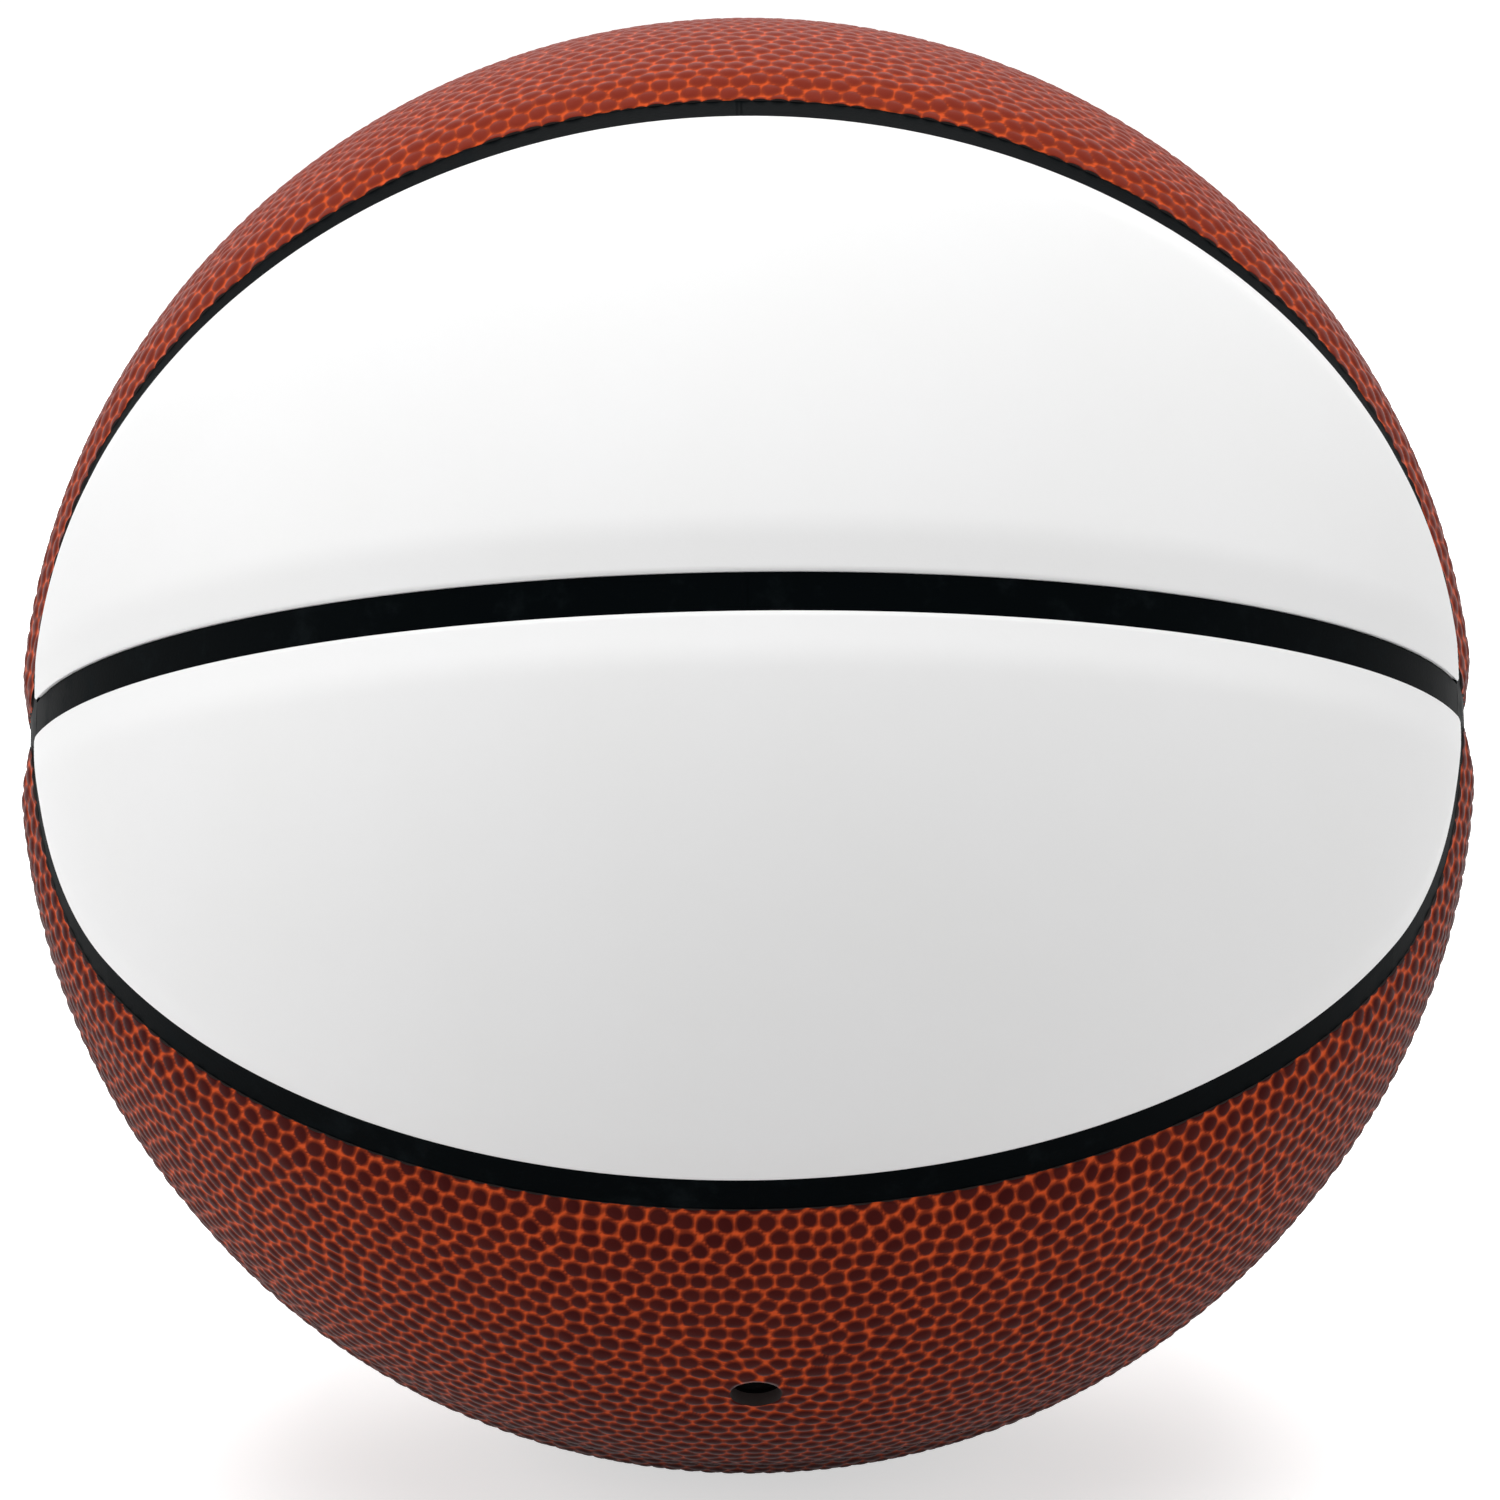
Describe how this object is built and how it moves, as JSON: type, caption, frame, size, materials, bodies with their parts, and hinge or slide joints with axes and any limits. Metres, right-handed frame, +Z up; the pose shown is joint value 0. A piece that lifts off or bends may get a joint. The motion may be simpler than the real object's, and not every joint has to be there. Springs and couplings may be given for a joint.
{
  "type": "basketball",
  "caption": "Laminated basketball with smooth white panels on its front oval, pebbled brown panels elsewhere, recessed black channels and a needle valve.",
  "frame": {"origin": "centre of the ball", "axes": "+X through one of the two points where the straight seams cross, +Z up as the ball stands, with the middle of its front oval facing -Y and lifted 20 degrees above the horizontal"},
  "size_m": [0.1766, 0.178, 0.178],
  "materials": {
    "white_cover": "satin",
    "brown_cover": "satin",
    "carcass_rubber": "satin",
    "winding_thread": "matte",
    "bladder_rubber": "satin",
    "valve_rubber": "satin"
  },
  "bodies": {
    "root": {"oval_panel_front_upper": "white_cover", "oval_panel_front_lower": "white_cover", "oval_panel_back_upper": "brown_cover", "oval_panel_back_lower": "brown_cover", "strip_panel_front_upper": "brown_cover", "strip_panel_front_lower": "brown_cover", "strip_panel_back_upper": "brown_cover", "strip_panel_back_lower": "brown_cover", "carcass": "carcass_rubber", "winding": "winding_thread", "bladder": "bladder_rubber", "valve_boot": "valve_rubber", "valve_plug": "valve_rubber"}
  },
  "joints": []
}
